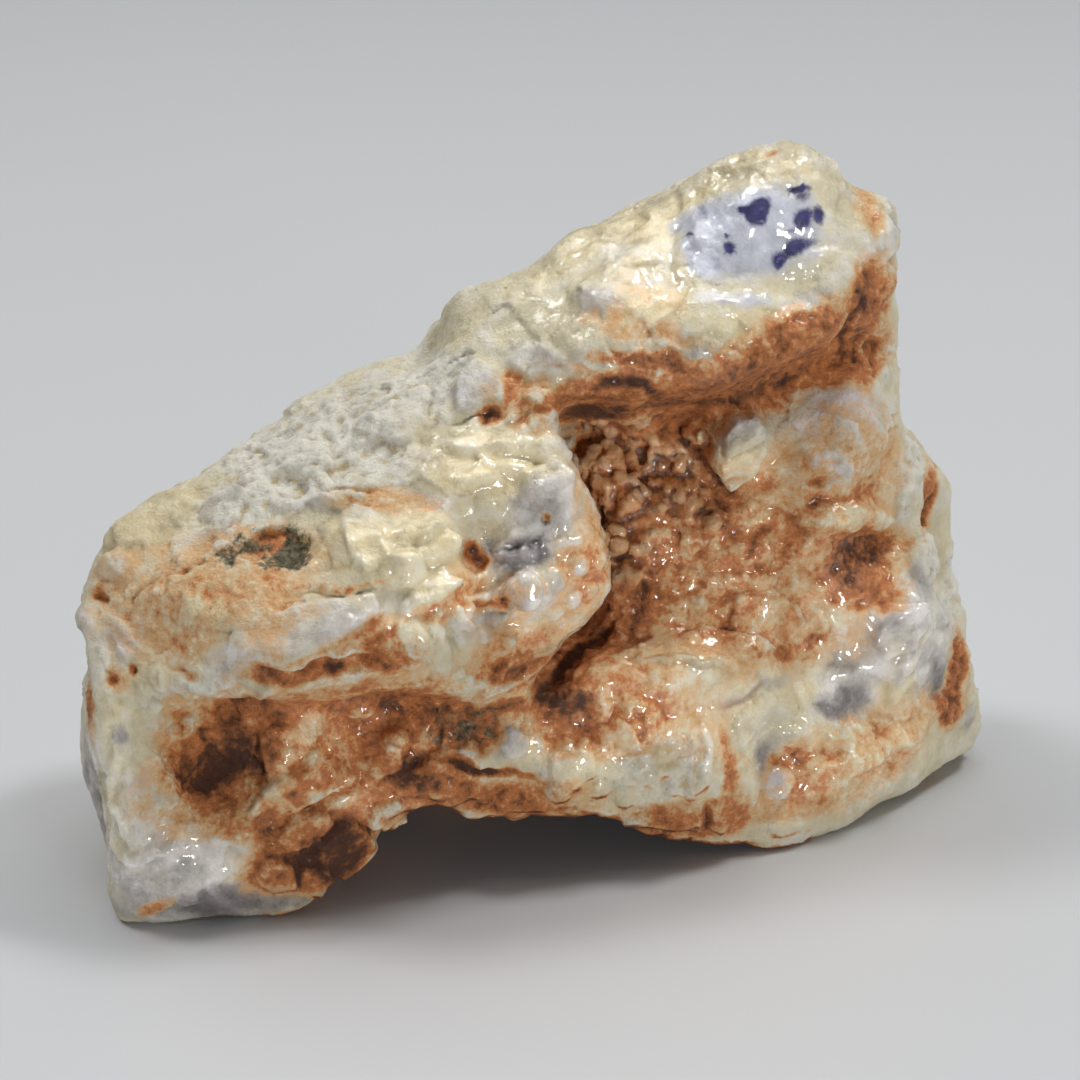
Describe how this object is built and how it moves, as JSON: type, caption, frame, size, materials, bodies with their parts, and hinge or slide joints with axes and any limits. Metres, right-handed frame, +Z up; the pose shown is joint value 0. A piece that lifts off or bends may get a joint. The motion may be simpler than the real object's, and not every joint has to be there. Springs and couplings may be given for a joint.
{
  "type": "opal mineral specimen",
  "caption": "Rough banded opal stone, broken on all sides, with a sheltered hollow under an overhanging ledge, resting on worn flat spots.",
  "frame": {"origin": "middle of the stone's length and depth, on the plane it rests on", "axes": "+X along the stone's length towards its tall end, +Y towards its back, +Z up"},
  "size_m": [0.109, 0.0662, 0.0818],
  "materials": {
    "opal": "wet milky opal, cream with rust staining"
  },
  "bodies": {
    "root": {"opal_stone": "opal"}
  },
  "joints": []
}
